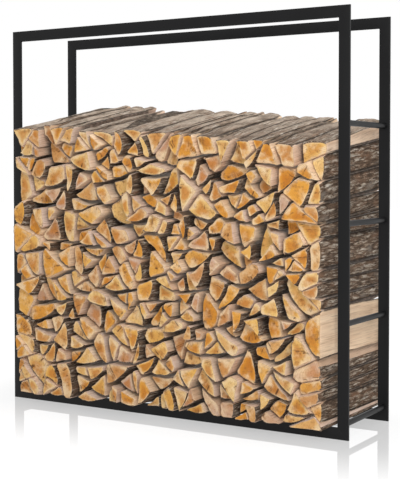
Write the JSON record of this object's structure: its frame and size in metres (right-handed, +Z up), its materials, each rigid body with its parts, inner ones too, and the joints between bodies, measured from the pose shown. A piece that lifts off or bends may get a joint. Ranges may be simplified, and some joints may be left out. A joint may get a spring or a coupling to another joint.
{
  "type": "log store",
  "caption": "Free-standing black steel log store: flat-bar front and rear frames joined by side rods, stacked with split firewood.",
  "frame": {"origin": "on the floor, under the middle of the rack", "axes": "+X to the right along the front, +Y from front to rear, +Z up"},
  "size_m": [1, 0.3907, 1],
  "materials": {
    "frame": "satin black powder coat",
    "firewood": "dry split wood with bark"
  },
  "bodies": {
    "root": {"front_left_post": "frame", "front_right_post": "frame", "front_top_rail": "frame", "front_bottom_rail": "frame", "rear_left_post": "frame", "rear_right_post": "frame", "rear_top_rail": "frame", "rear_bottom_rail": "frame", "left_rod_1": "frame", "left_rod_2": "frame", "left_rod_3": "frame", "left_rod_4": "frame", "right_rod_1": "frame", "right_rod_2": "frame", "right_rod_3": "frame", "right_rod_4": "frame", "logs_row_1_left": "firewood", "logs_row_1_middle": "firewood", "logs_row_1_right": "firewood", "logs_row_2_left": "firewood", "logs_row_2_middle": "firewood", "logs_row_2_right": "firewood", "logs_row_3_left": "firewood", "logs_row_3_middle": "firewood", "logs_row_3_right": "firewood", "logs_row_4_left": "firewood", "logs_row_4_middle": "firewood", "logs_row_4_right": "firewood", "logs_row_5_left": "firewood", "logs_row_5_middle": "firewood", "logs_row_5_right": "firewood", "logs_row_6_left": "firewood", "logs_row_6_middle": "firewood", "logs_row_6_right": "firewood", "logs_row_7_left": "firewood", "logs_row_7_middle": "firewood", "logs_row_7_right": "firewood"}
  },
  "joints": []
}
